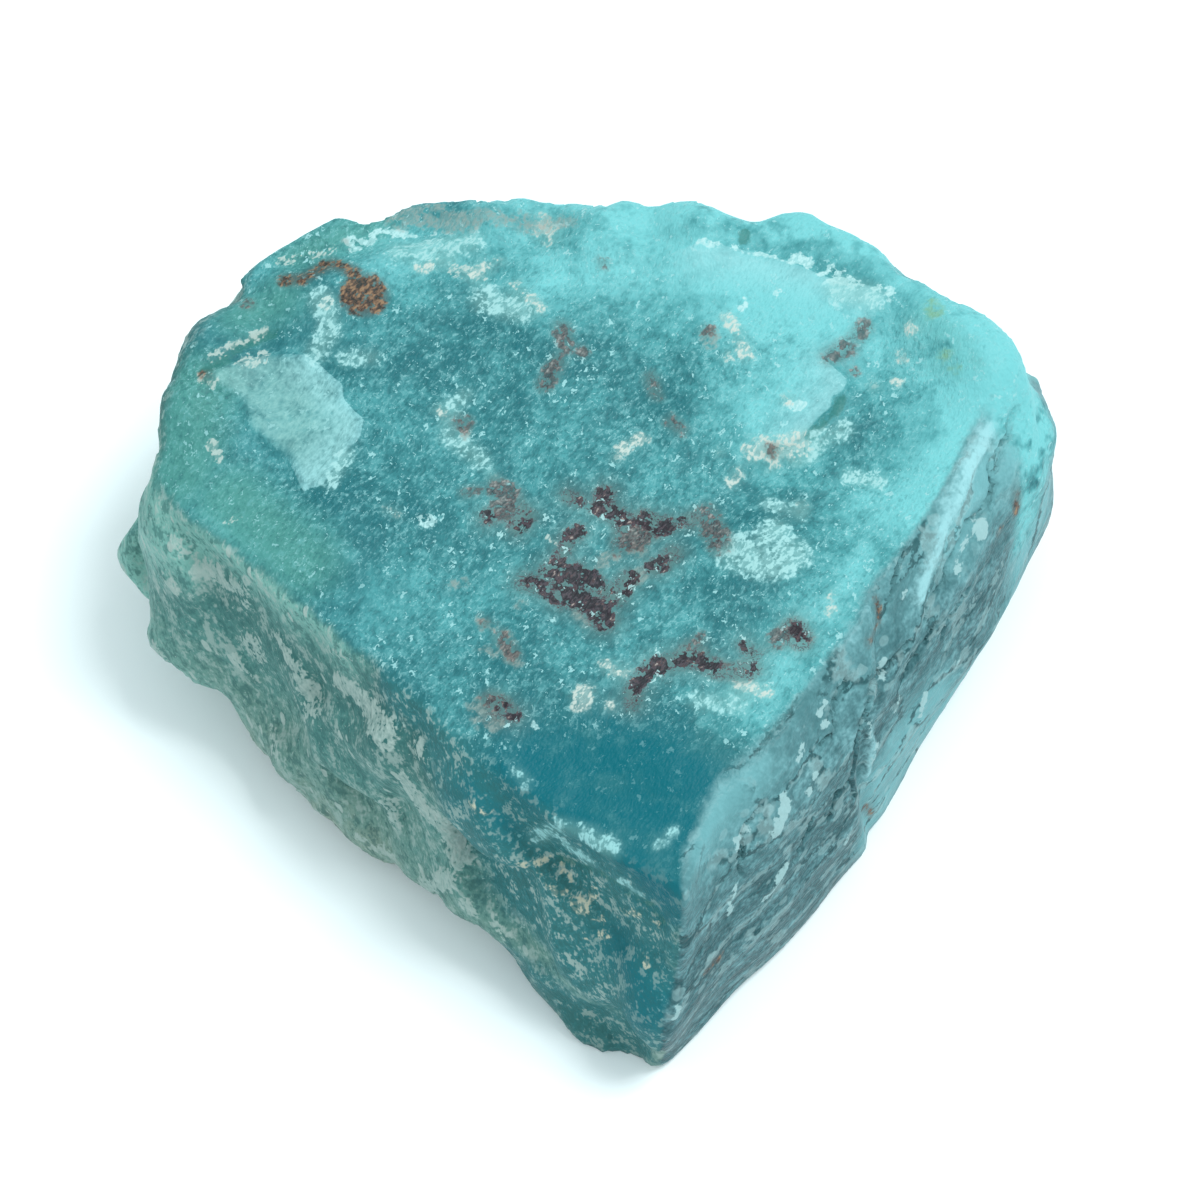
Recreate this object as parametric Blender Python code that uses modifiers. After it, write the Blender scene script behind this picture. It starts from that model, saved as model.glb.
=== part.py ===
"""Raw amazonite: one broken lump of blue-green feldspar, about 63 mm across.

The lump is lofted through plan outlines at four heights, and flat breaks take off its
corners. Its skin is remeshed evenly, stepped by ledges, split by cracks, and roughened by
chips and soft lumps. It is then thinned out, and cut flat where it lies.
"""

import math

import bmesh
import bpy
from mathutils import Vector, geometry, noise

MM = 0.001

# Plan outlines in millimetres, counter-clockwise from the front corner.
# The lump is a blunt wedge: its front corner points down -Y, its broad back is at +Y.
RIM_OUTLINE = (
    (6.0, -23.4),  # front corner
    (8.0, -16.5),
    (15.0, -6.8),
    (23.2, 3.8),
    (28.1, 10.8),  # right shoulder
    (25.5, 16.8),
    (20.2, 20.6),
    (13.9, 24.9),  # right end of the back
    (10.9, 23.6),
    (6.8, 24.8),
    (-5.0, 25.6),
    (-10.8, 26.9),  # left end of the back
    (-15.4, 24.6),
    (-20.6, 20.8),
    (-25.4, 16.8),
    (-28.6, 6.0),  # left shoulder
    (-28.2, 3.4),
    (-19.6, -3.4),
    (-12.0, -8.8),
    (-2.6, -19.0),
)
SHOULDER_OUTLINE = (
    (5.6, -25.4),
    (10.0, -18.6),
    (18.0, -8.6),
    (25.4, 1.6),
    (31.0, 9.6),
    (29.2, 15.8),
    (21.4, 22.4),
    (14.0, 25.8),
    (7.0, 25.4),
    (-10.6, 27.2),
    (-21.2, 22.4),
    (-26.0, 16.0),
    (-29.2, 7.0),
    (-28.8, 3.4),
    (-20.4, -5.6),
    (-9.4, -15.0),
)
WAIST_OUTLINE = (
    (5.0, -28.4),
    (11.0, -20.4),
    (17.0, -13.0),
    (22.0, -6.6),
    (27.7, 0.4),
    (31.6, 8.8),
    (31.5, 14.2),
    (22.6, 23.0),
    (14.0, 27.0),
    (-9.0, 27.0),
    (-21.0, 21.4),
    (-26.6, 14.2),
    (-32.0, 6.0),
    (-30.6, 2.2),
    (-21.9, -6.9),
    (-12.0, -13.8),
    (-3.0, -22.8),
)
FOOT_OUTLINE = (
    (4.4, -29.4),
    (8.6, -24.0),
    (15.0, -16.4),
    (20.0, -10.4),
    (27.0, 2.0),
    (30.0, 8.6),
    (29.6, 14.0),
    (21.4, 21.6),
    (12.0, 25.4),
    (-8.0, 25.0),
    (-20.4, 19.6),
    (-26.4, 13.0),
    (-28.2, 7.4),
    (-26.0, 2.0),
    (-21.4, -7.2),
    (-12.4, -13.6),
    (-8.0, -16.2),
    (-2.4, -23.0),
)

# Heights of the sections in millimetres. The keel is cut away where the lump is set down.
KEEL_Z = -2.0
FOOT_Z = 0.6
WAIST_Z = 7.0
SHOULDER_Z = 14.0
KEEL_INSET = 0.94

# The broad top face is one cleavage, nearly level and rising a little to the back.
TOP_Z = 19.4
TOP_RISE_BACK = 0.035
TOP_RISE_RIGHT = 0.015
TOP_RINGS = (1.0, 0.75, 0.5, 0.25)

# Flat breaks that take off a corner or an edge: a point on the break, and the way it faces.
BREAKS = (
    ((-3.5, -18.6, 17.4), (-0.52, -0.62, 0.78)),  # chamfer between the top and the left wall
    ((20.4, 0.1, 19.7), (0.66, -0.39, 0.64)),  # bevel along the back half of the right rim
    ((5.4, -29.3, 5.0), (0.42, -0.86, -0.28)),  # front corner, below
    ((-30.6, 3.0, 12.5), (-0.86, -0.3, 0.52)),  # left end, above
    ((-27.6, 3.6, 1.2), (-0.62, -0.42, -0.66)),  # left end, undercut
    ((31.0, 11.0, 15.0), (0.8, 0.12, 0.56)),  # right end, above
    ((26.5, 21.5, 10.0), (0.66, 0.74, 0.12)),  # back right
    ((-25.0, 21.0, 10.0), (-0.72, 0.68, 0.1)),  # back left
    ((0.0, 26.2, 5.5), (0.05, 0.88, -0.42)),  # back, undercut
)

# Ledges on the top: a line in plan, how far the face drops to the right of it, and how far
# from the line the drop has died away. All in millimetres.
TOP_LEDGES = (
    # A flake has gone from the right of the face.
    (
        ((7.3, 3.4), (10.7, 6.5), (13.6, 7.6), (15.6, 10.1), (16.8, 11.6), (15.7, 13.5),
         (18.2, 15.8), (20.6, 18.4)),
        0.75, 11.0,
    ),
    # A scalloped flake has gone from its left end.
    (
        ((-24.6, 12.6), (-20.4, 14.2), (-16.4, 14.0), (-14.2, 9.2), (-16.4, 4.4), (-19.0, 1.4)),
        0.55, 9.0,
    ),
    # Chips have gone from the back rim, behind this crest.
    (
        ((9.6, 23.0), (4.4, 21.4), (0.6, 22.2), (-4.6, 20.9), (-8.8, 22.3), (-13.2, 21.5),
         (-16.4, 19.8), (-20.4, 19.4), (-23.6, 15.6)),
        0.7, 6.0,
    ),
)
LEDGE_LIP = 0.5  # the drop takes this many millimetres
LEDGE_END = 0.15  # and fades in over this share of the line at each end

# Cracks down the right wall: a line in millimetres, its depth and its half width.
CRACKS = (
    (
        ((18.4, -3.0, 19.0), (18.4, -5.6, 16.7), (18.6, -7.0, 14.6), (17.6, -9.2, 13.4),
         (17.6, -10.9, 10.2), (18.0, -12.0, 6.0), (19.2, -12.0, 0.0)),
        1.0, 0.7,
    ),
    (
        ((27.3, 9.8, 19.0), (26.3, 6.1, 17.2), (25.2, 3.6, 16.4), (24.2, 1.2, 15.4),
         (22.1, -2.6, 14.5), (19.8, -6.7, 12.8)),
        0.8, 0.6,
    ),
)
# The slab behind the first crack stands proud, and sinks back to the wall further along.
SLAB_PROUD = 0.7
SLAB_EDGE = 0.8
SLAB_LENGTHS = (8.0, 16.0)

# The stone breaks along a second cleavage, which leans to the front: its normal, and how
# many times thinner the chips and lumps are across it than along it.
BEDDING = Vector((0.54, -0.45, 0.7)).normalized()
BEDDING_THIN = 2.0

# Relief of the broken walls in millimetres: flat-faced chips, soft lumps, fine roughness.
CHIP_MM = 8.0
CHIP_STEP = 1.3
CHIP_TILT = 0.22
LUMP_MM = 10.0
LUMP_RISE = 1.1
ROUGH_MM = 3.0
ROUGH_RISE = 0.35
ROUGH_OCTAVES = 3
MOST_PROUD = 0.6  # nothing stands further out than this

# The two cleaved faces are smoother. A point belongs to one of them as its facing turns
# that way, from not at all to wholly; then come the shares of chips and of lumps there.
UP = Vector((0, 0, 1))
RIGHT = Vector((0.8, -0.6, 0))
TOP_TURN = (0.6, 0.9)
RIGHT_TURN = (0.55, 0.85)
TOP_SHARES = (0.1, 0.35)
RIGHT_SHARES = (0.1, 0.3)

STATIONS = 96
SKIN_MM = 0.55
TRIANGLES = 8600

COLOUR = (0.09, 0.42, 0.43, 1.0)
ROUGHNESS = 0.42


def top_height(x, y):
    """Height of the top cleavage in millimetres."""
    return TOP_Z + TOP_RISE_BACK * y + TOP_RISE_RIGHT * x


def reach(outline, angle):
    """How far the outline lies from the axis in that direction."""
    ray = Vector((math.cos(angle), math.sin(angle))) * 100
    hits = [
        geometry.intersect_line_line_2d((0, 0), ray, a, b)
        for a, b in zip(outline, outline[1:] + outline[:1])
    ]
    return max(Vector(hit).length for hit in hits if hit)


def ring(outline, height, share=1.0):
    """One closed ring of points on the outline, at a height or on a surface."""
    points = []
    for i in range(STATIONS):
        angle = math.tau * i / STATIONS
        r = reach(outline, angle) * share
        x = r * math.cos(angle)
        y = r * math.sin(angle)
        z = height(x, y) if callable(height) else height
        points.append(Vector((x, y, z)) * MM)
    return points


def lofted_block():
    """The closed block through the sections, from the keel up to the top face."""
    rings = [
        ring(FOOT_OUTLINE, KEEL_Z, KEEL_INSET),
        ring(FOOT_OUTLINE, FOOT_Z),
        ring(WAIST_OUTLINE, WAIST_Z),
        ring(SHOULDER_OUTLINE, SHOULDER_Z),
    ]
    rings += [ring(RIM_OUTLINE, top_height, share) for share in TOP_RINGS]
    bm = bmesh.new()
    loops = [[bm.verts.new(p) for p in points] for points in rings]
    for low, high in zip(loops, loops[1:]):
        for i in range(STATIONS):
            j = (i + 1) % STATIONS
            bm.faces.new((low[i], low[j], high[j], high[i]))
    bm.faces.new(list(reversed(loops[0])))
    bm.faces.new(loops[-1])
    return bm


def break_off(bm, point, facing):
    """Takes off what lies beyond a plane, and closes the cut."""
    cut = bmesh.ops.bisect_plane(
        bm,
        geom=bm.verts[:] + bm.edges[:] + bm.faces[:],
        plane_co=Vector(point) * MM,
        plane_no=Vector(facing).normalized(),
        clear_outer=True,
    )
    edges = [e for e in cut["geom_cut"] if isinstance(e, bmesh.types.BMEdge)]
    bmesh.ops.holes_fill(bm, edges=edges)


def bake(stone):
    """Makes the modified shape the stone's own mesh."""
    graph = bpy.context.evaluated_depsgraph_get()
    mesh = bpy.data.meshes.new_from_object(stone.evaluated_get(graph))
    stone.modifiers.clear()
    stone.data = mesh


def reskin(stone):
    """Gives the stone an even skin of small quads."""
    modifier = stone.modifiers.new("skin", "REMESH")
    modifier.mode = "VOXEL"
    modifier.voxel_size = SKIN_MM * MM
    bake(stone)


def thin_out(stone):
    """Keeps the triangles where the shape turns."""
    stone.data.calc_loop_triangles()
    modifier = stone.modifiers.new("thin", "DECIMATE")
    modifier.ratio = TRIANGLES / len(stone.data.loop_triangles)
    modifier.use_collapse_triangulate = True
    bake(stone)


def ease(value, start, end):
    """0 up to start, 1 from end on, with a smooth turn between."""
    t = min(1.0, max(0.0, (value - start) / (end - start)))
    return t * t * (3 - 2 * t)


def beside(p, line):
    """A point beside a line of points: how far off, on its right or not, and how far along."""
    nearest = None
    for k, (a, b) in enumerate(zip(line, line[1:])):
        along = Vector(b) - Vector(a)
        off = p - Vector(a)
        t = min(1.0, max(0.0, off.dot(along) / along.length_squared))
        gap = off - along * t
        if nearest is None or gap.length < nearest[0]:
            right = gap.x * along.y > gap.y * along.x
            nearest = (gap.length, right, (k + t) / (len(line) - 1))
    return nearest


def ledge_drop(p):
    """How far the top face is stepped down at this point."""
    drop = 0.0
    for line, depth, width in TOP_LEDGES:
        gap, right, along = beside(p.to_2d(), line)
        if right:
            ends = ease(min(along, 1 - along), 0.0, LEDGE_END)
            drop += depth * ends * ease(gap, 0.0, LEDGE_LIP) * ease(-gap, -width, -0.3 * width)
    return drop


def right_wall_rise(p):
    """The proud slab and the cracks of the right wall."""
    line = CRACKS[0][0]
    gap, right, _ = beside(p, line)
    rise = 0.0
    if right:
        rise = SLAB_PROUD * ease(gap, 0.0, SLAB_EDGE) * (1 - ease(gap, *SLAB_LENGTHS))
    for line, depth, width in CRACKS:
        gap = beside(p, line)[0]
        rise -= depth * (1 - ease(gap, 0.3 * width, width))
    return rise


def bedded(p):
    """The point in a space where lumps of even size are thin across the bedding."""
    return p + BEDDING * ((BEDDING_THIN - 1) * p.dot(BEDDING))


def chip(q):
    """How far the flat-faced chip that this point lies on stands out."""
    centre = noise.voronoi(q / CHIP_MM)[1][0]
    tilt = noise.cell_vector(centre * 7.3) - Vector((0.5, 0.5, 0.5))
    level = noise.cell(centre * 11.7) - 0.5
    return CHIP_STEP * level + CHIP_TILT * CHIP_MM * tilt.dot(q / CHIP_MM - centre)


def weathered(p, facing):
    """Where a point of the plain block, facing that way, lies on the broken stone."""
    top = ease(facing.dot(UP), *TOP_TURN)
    right = ease(facing.dot(RIGHT), *RIGHT_TURN)
    chips, lumps = (
        1 - (1 - on_top) * top - (1 - on_right) * right
        for on_top, on_right in zip(TOP_SHARES, RIGHT_SHARES)
    )
    q = bedded(p)
    rise = chips * chip(q)
    rise += lumps * LUMP_RISE * noise.noise(q / LUMP_MM)
    rise += lumps * ROUGH_RISE * noise.fractal(q / ROUGH_MM, 1.0, 2.0, ROUGH_OCTAVES)
    rise = min(rise, MOST_PROUD) * ease(p.z, KEEL_Z, FOOT_Z)
    if right > 0:
        rise += right * right_wall_rise(p)
    return p + facing * rise - UP * (top * ledge_drop(p))


def weather(stone):
    """Moves the skin from the plain block to the broken stone."""
    vertices = stone.data.vertices
    facings = [v.normal.copy() for v in vertices]
    for vertex, facing in zip(vertices, facings):
        vertex.co = weathered(vertex.co / MM, facing) * MM


def set_down(stone):
    """Cuts the flat that the stone lies on, and puts the origin below its middle."""
    bm = bmesh.new()
    bm.from_mesh(stone.data)
    break_off(bm, (0, 0, 0), (0, 0, -1))
    bmesh.ops.triangulate(bm, faces=bm.faces[:])
    xs = [v.co.x for v in bm.verts]
    ys = [v.co.y for v in bm.verts]
    middle = Vector(((min(xs) + max(xs)) / 2, (min(ys) + max(ys)) / 2, 0))
    bmesh.ops.translate(bm, vec=-middle, verts=bm.verts)
    bm.to_mesh(stone.data)
    bm.free()


def feldspar():
    """The stone's own blue-green."""
    material = bpy.data.materials.new("feldspar")
    material.use_nodes = True
    shader = material.node_tree.nodes["Principled BSDF"]
    shader.inputs["Base Color"].default_value = COLOUR
    shader.inputs["Roughness"].default_value = ROUGHNESS
    return material


def main():
    for obj in list(bpy.data.objects):
        bpy.data.objects.remove(obj)
    collection = bpy.data.collections.new("raw_amazonite")
    bpy.context.scene.collection.children.link(collection)

    bm = lofted_block()
    for point, facing in BREAKS:
        break_off(bm, point, facing)
    mesh = bpy.data.meshes.new("amazonite")
    bm.to_mesh(mesh)
    bm.free()
    stone = bpy.data.objects.new("amazonite", mesh)
    collection.objects.link(stone)

    reskin(stone)
    weather(stone)
    reskin(stone)
    thin_out(stone)
    set_down(stone)
    stone.data.materials.append(feldspar())


main()
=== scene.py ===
"""Raw amazonite: one broken lump of blue-green feldspar, dressed over its CAD solid.

Everything is in metres in the CAD model's own frame. Lengths named _MM are in millimetres.
The stone is a fine-grained copy of the CAD solid, roughened along its cleavage planes. The
stains, pale flakes and dark grains are marks, given as points on the stone, which become
attributes of the mesh; so are the painted glow, painted sheen, painted shade and painted
shadows. The shader turns each mark into ragged grains and veils.
"""

import math
from types import SimpleNamespace

import bpy
import numpy as np
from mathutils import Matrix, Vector


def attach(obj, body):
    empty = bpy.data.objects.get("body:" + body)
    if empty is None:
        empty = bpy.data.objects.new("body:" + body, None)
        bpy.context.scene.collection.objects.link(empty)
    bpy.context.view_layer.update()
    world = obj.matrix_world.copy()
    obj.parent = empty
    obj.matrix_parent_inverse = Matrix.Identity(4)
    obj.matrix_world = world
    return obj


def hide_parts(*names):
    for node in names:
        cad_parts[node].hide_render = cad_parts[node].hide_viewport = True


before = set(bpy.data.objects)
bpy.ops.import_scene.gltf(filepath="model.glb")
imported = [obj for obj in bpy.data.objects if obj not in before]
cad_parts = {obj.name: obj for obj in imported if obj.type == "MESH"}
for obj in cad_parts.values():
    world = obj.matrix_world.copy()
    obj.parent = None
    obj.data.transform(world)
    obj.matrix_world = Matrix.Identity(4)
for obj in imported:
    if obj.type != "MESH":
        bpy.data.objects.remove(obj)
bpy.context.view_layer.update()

MM = 0.001

# ------------------------ how the stone lies
BEDDING = (0.54, -0.45, 0.7)  # square to the layers that the stone splits along
RIGHT_OUT = (0.8, -0.6, 0.0)  # the way the right wall faces
LEFT_OUT = (-0.64, -0.77, 0.0)  # the way the left wall faces
ALONG_RIGHT = (0.6, 0.8)
ALONG_LEFT = (0.77, -0.64)
BEDDING_TURN = Vector(BEDDING).to_track_quat("Z", "Y")

# ------------------------ the marks
# A mark is its reach in mm and the points of its line, or the one point of a spot. Marks on
# top are placed by x and y. Marks on a wall are placed by the way along it and the height.
DARK_ORE = (
    (0.40, (-3.8, -1.6), (-2.8, -1.9), (-1.9, -2.4), (-1.4, -2.8)),
    (0.50, (-2.3, -1.0), (-1.6, -1.6), (-0.6, -0.9), (0.3, -1.4), (1.0, -2.3)),
    (0.65, (-1.1, -2.1), (-0.4, -2.7), (0.5, -3.3), (1.1, -4.2)),
    (0.40, (1.0, -2.9), (2.0, -2.6), (2.6, -1.4)),
    (0.45, (1.2, 4.4), (0.8, 3.7), (1.5, 3.4), (2.3, 2.8)),
    (0.42, (3.6, 2.8), (4.4, 2.3), (5.1, 2.4)),
    (0.32, (4.2, -0.6), (4.9, -0.3), (5.5, 0.4)),
    (0.36, (-3.7, 2.9), (-4.3, 2.3)),
    (0.25, (-6.2, 2.8)),
    (0.25, (-0.4, 1.9), (-1.1, 1.4), (-1.5, 0.3), (-1.9, -0.4)),
    (0.15, (6.2, 2.6)),
    (0.30, (2.9, -9.8), (3.0, -8.8), (3.5, -8.0), (4.3, -7.2)),
    (0.42, (4.6, -7.3), (5.3, -7.0), (5.9, -6.9)),
    (0.42, (6.9, -6.9), (7.8, -7.3)),
    (0.25, (9.8, -7.6), (10.4, -7.4)),
    (0.12, (9.8, -5.9), (10.5, -6.5)),
    (0.22, (13.1, -4.7), (13.4, -5.6)),
    (0.28, (-5.3, -10.0), (-4.5, -10.6)),
    (0.22, (-1.1, 4.3), (-0.5, 4.0)),
)
RED_ORE = (
    (0.70, (-5.6, 4.9), (-4.7, 4.3), (-5.1, 3.5)),
    (0.30, (-7.6, 4.5), (-7.0, 4.7)),
    (0.55, (-7.9, 9.6)),
    (0.75, (7.6, 3.0), (8.1, 1.8), (8.4, 1.0)),
    (0.75, (2.3, 1.0), (3.0, 1.2), (3.7, 2.0)),
    (0.45, (-1.6, 16.3), (-1.3, 15.0)),
    (0.30, (-0.3, 14.6)),
    (0.45, (-1.9, 13.7), (-2.6, 12.3)),
    (0.35, (4.1, 12.8), (4.5, 11.6)),
    (0.30, (5.4, 9.6), (6.1, 8.9)),
    (0.22, (1.1, 20.8)),
    (0.55, (11.9, -5.6), (12.7, -4.9), (13.4, -5.4)),
    (0.50, (8.8, -7.7), (9.7, -7.6)),
    (0.45, (-6.0, -9.5), (-5.3, -10.1)),
    (0.45, (15.6, 14.1), (16.4, 14.8), (17.1, 15.2)),
    (0.35, (17.4, 15.7), (18.1, 16.4)),
    (0.22, (17.2, 13.5)),
    (0.40, (-5.3, -5.3), (-4.6, -6.6)),
    (0.25, (-6.2, -4.3)),
    (0.35, (7.8, 16.0)),
    (0.30, (6.5, -5.8), (7.1, -5.5)),
    (0.30, (11.8, 7.6)),
    (0.30, (-22.0, 18.2)),
)
RUST = (
    (1.55, (-14.4, 18.7)),
    (0.45, (-19.6, 19.9), (-18.5, 20.0), (-17.5, 20.8), (-16.6, 21.3), (-15.4, 20.6)),
    (0.45, (-15.4, 20.6), (-14.9, 19.9)),
    (0.30, (-24.4, 12.5)),
)
RUST_ON_RIGHT = (
    (0.28, (22.2, 15.0), (21.7, 13.6)),
    (0.10, (20.0, 13.9), (19.6, 13.8)),
    (0.10, (8.9, 18.7), (8.1, 17.7), (6.4, 18.2)),
    (0.12, (2.0, 5.2), (2.7, 3.0)),
    (0.18, (-13.5, 8.8)),
    (0.09, (-14.4, 8.8), (-12.8, 8.4)),
)
SMUDGE = (
    (0.90, (-12.4, 25.2), (-10.0, 25.0), (-8.0, 24.2)),
    (0.50, (-7.2, 24.6), (-3.0, 24.2), (-1.0, 24.4)),
    (0.32, (-6.5, -4.2), (-5.8, -4.6)),
    (0.24, (-5.1, -5.1), (-4.6, -5.6)),
    (0.34, (-6.3, -6.2), (-5.3, -6.5), (-4.3, -7.0)),
    (0.20, (-4.3, -3.4), (-4.0, -3.3)),
    (0.22, (-8.5, -1.8), (-7.7, -1.6)),
    (0.70, (-6.6, -10.3), (-5.7, -11.0)),
    (0.60, (8.0, 15.5)),
    (0.40, (11.9, 7.7)),
    (0.34, (0.9, -0.1), (3.4, 0.6)),
    (0.30, (3.4, -1.1), (2.3, -2.1)),
    (0.30, (-0.0, -4.2), (-0.7, -3.6)),
    (0.30, (-7.7, 8.9)),
    (0.26, (4.4, 11.7)),
    (0.30, (-15.8, 22.8)),
)
PALE = (
    (0.75, (10.8, 7.5), (11.7, 7.8), (13.0, 7.7), (13.6, 8.1)),
    (0.60, (11.9, 7.0)),
    (0.32, (9.7, 6.1), (9.3, 5.4)),
    (0.22, (8.5, 7.4)),
    (0.42, (9.1, 16.9), (9.7, 15.9), (10.3, 14.2)),
    (0.30, (9.1, 14.2)),
    (0.50, (1.3, -7.4), (2.1, -7.7)),
    (0.60, (0.0, -9.1), (-0.3, -9.6)),
    (0.42, (1.4, -10.0)),
    (0.45, (9.4, -8.5), (10.3, -8.7), (11.1, -8.9)),
    (0.75, (-2.9, 24.2), (-2.4, 23.5)),
    (0.30, (1.9, 7.0), (2.3, 7.6), (3.6, 8.4)),
    (0.45, (21.0, 16.2)),
    (0.32, (20.4, 14.5)),
    (0.30, (18.5, 12.4)),
    (0.30, (20.0, 12.7)),
    (0.42, (12.9, 11.0)),
    (0.25, (13.7, 4.0)),
    (0.22, (15.4, -2.4)),
    (0.22, (15.3, -3.6)),
    (0.28, (-9.5, 10.5), (-9.0, 10.1)),
    (0.22, (-5.8, 5.6)),
    (0.18, (-12.5, 3.4), (-11.9, 3.1)),
    (0.25, (-10.8, 20.7), (-9.2, 21.2)),
    (0.25, (-7.6, 20.2), (-5.6, 21.3)),
    (0.25, (-4.6, 19.6), (-3.8, 18.5), (-2.9, 17.6)),
)
SPECKLED = (
    (0.14, (-24.1, 13.8), (-22.7, 14.9), (-20.7, 16.3)),
    (0.40, (-22.1, 13.7), (-20.9, 14.3)),
    (0.30, (-8.8, 20.6), (-6.9, 20.3)),
    (0.20, (-19.9, 21.5), (-17.5, 22.2), (-16.7, 22.6)),
    (0.07, (-2.3, 1.5), (-1.6, 0.7), (-1.6, 0.0), (-1.9, -0.5)),
    (0.30, (-24.6, 12.3), (-24.0, 12.1)),
    (0.26, (-23.8, 8.0), (-23.4, 7.2)),
    (0.20, (-22.1, 3.1), (-22.5, 2.9)),
    (0.42, (-16.9, 18.2)),
)
GLINT = (
    (0.16, (-13.8, 23.9), (-11.9, 23.7), (-9.8, 23.6)),
    (0.42, (-15.4, 22.9), (-14.4, 23.3)),
    (0.32, (13.7, 21.3), (14.5, 20.8), (15.6, 20.3), (16.6, 20.3)),
    (0.34, (16.2, 19.6), (18.4, 19.4), (19.7, 18.6)),
    (0.07, (7.4, 22.1), (9.5, 21.9), (11.5, 21.6), (13.6, 20.8)),
    (0.28, (13.0, 10.8), (13.6, 10.6)),
    (0.16, (10.2, 18.1), (10.1, 17.6)),
    (0.14, (12.4, 18.6)),
    (0.14, (12.4, 15.6)),
    (0.26, (-9.8, 2.5), (-10.3, 2.8)),
    (0.24, (-3.1, -11.3)),
    (0.14, (-2.7, 23.7), (-1.7, 24.2)),
)
FROST = (
    (1.20, (9.4, 0.3), (10.6, -0.2), (11.7, -0.3), (12.9, 0.4)),
    (0.80, (11.3, 1.2), (12.0, 2.1)),
    (0.60, (13.8, 7.8), (15.0, 8.6), (16.4, 9.3)),
    (0.70, (-17.2, 18.4), (-16.6, 17.0), (-16.7, 15.8), (-17.4, 14.7)),
    (0.45, (-15.5, 14.1), (-13.8, 14.2)),
    (1.00, (16.5, 18.9), (18.4, 18.5)),
    (0.90, (-6.6, 18.4), (-4.3, 17.5)),
    (0.45, (-7.8, 11.5), (-8.4, 10.9)),
    (0.45, (16.8, 6.1), (18.6, 5.6)),
    (0.90, (-12.2, 22.1), (-7.6, 22.7)),
    (0.50, (-16.2, 5.6), (-15.4, 7.4)),
    (0.55, (7.0, -9.6), (9.5, -9.9)),
    (0.40, (11.6, 3.9), (13.5, 3.2)),
    (0.60, (-8.7, 8.7), (-6.7, 6.9)),
)
# Painted glow along the back and right rims, kept as the attribute light.
RIM_GLOW = (
    (3.5, (0.9, 22.9), (7.4, 21.3), (12.6, 18.2), (17.0, 16.1)),
    (3.0, (13.1, 12.4), (11.1, 9.6)),
    (2.5, (-1.7, 20.6), (3.5, 19.8)),
    (3.0, (25.9, 12.3), (23.8, 8.3), (19.8, 2.8)),
    (2.0, (17.9, 21.9), (24.2, 16.8)),
    (2.6, (-4.0, 26.5), (8.0, 26.5), (15.0, 25.5), (21.0, 22.0)),
    (1.2, (18.0, 0.5), (14.5, -5.3)),
    (1.3, (14.0, -4.8), (9.5, -10.7)),
    (2.0, (-12.9, 22.2), (-5.7, 23.3)),
)
GREENER = (
    (3.5, (-25.4, 11.3), (-26.2, 6.4)),
    (3.0, (-22.5, 4.2), (-17.9, 0.0)),
    (2.0, (-19.9, 18.5), (-22.4, 17.1)),
    (1.8, (-19.0, 22.0), (-14.0, 24.5)),
)
STAIN = (
    (1.30, (21.9, 16.9), (22.8, 15.1), (23.7, 13.4)),
)
OLIVE_SPOTS = (
    (0.45, (22.5, 17.1)),
    (0.38, (23.0, 14.1)),
    (0.28, (23.8, 13.1)),
    (0.25, (22.3, 18.0)),
)
# Painted shadow in the cracks by the flake, under the ledge and at the back rim, which are also
# sunk a little.
GAP_SHADOWS = (
    (0.32, (-24.4, 12.8), (-23.5, 13.6), (-22.2, 14.9), (-21.0, 15.8), (-20.1, 16.1)),
    (0.25, (16.4, 11.2), (15.9, 10.4), (15.1, 9.6), (14.2, 8.6)),
    (0.30, (10.4, 23.3), (10.2, 22.5)),
    (0.20, (15.2, 13.5)),
)
LEDGE = (
    (1.20, (15.7, 13.1), (16.2, 12.1), (15.1, 10.8), (14.4, 9.8), (13.4, 8.7)),
    (0.90, (7.4, 21.4), (11.3, 20.7), (13.9, 20.0), (17.8, 18.6)),
    (0.70, (-17.3, 13.9), (-15.8, 12.1), (-15.5, 11.0), (-14.6, 9.6), (-15.1, 8.4), (-16.1, 7.0),
     (-17.3, 5.4)),
)
SEAMS_ON_RIGHT = (
    (0.13, (25.3, 18.5), (24.0, 17.9), (22.6, 17.8), (21.2, 17.6), (20.9, 16.7), (19.8, 16.3),
     (18.7, 16.1), (17.5, 16.9), (16.9, 16.5), (15.8, 16.2), (14.5, 16.0), (14.0, 15.1),
     (12.3, 15.4), (11.1, 14.7)),
    (0.07, (24.0, 17.7), (23.2, 17.7), (21.6, 17.1)),
    (0.06, (13.1, 19.2), (11.9, 19.0), (10.7, 18.7), (10.1, 18.2)),
    (0.14, (9.2, 15.0), (7.8, 15.1), (6.6, 14.9), (5.1, 16.2), (4.1, 15.4), (3.1, 14.9),
     (2.1, 13.8), (1.5, 12.5), (0.9, 11.2), (0.7, 9.5)),
    (0.16, (3.6, 15.0), (2.6, 14.3), (1.9, 13.0)),
    (0.06, (4.2, 17.9), (2.6, 17.6), (1.7, 17.0), (1.2, 15.7), (-0.2, 16.2)),
    (0.05, (1.1, 19.2), (-0.7, 19.0), (-2.1, 19.0)),
    (0.06, (1.2, 11.2), (-0.7, 11.7), (-1.9, 10.4)),
    (0.06, (-6.0, 16.7), (-7.8, 16.4), (-9.1, 14.9), (-9.5, 13.2)),
    (0.05, (-3.1, 12.1), (-4.1, 10.7), (-5.5, 10.0)),
    (0.06, (12.5, 13.6), (10.6, 13.5), (8.6, 12.9)),
    (0.05, (15.4, 13.0), (13.3, 12.9), (11.9, 12.0)),
)
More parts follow.
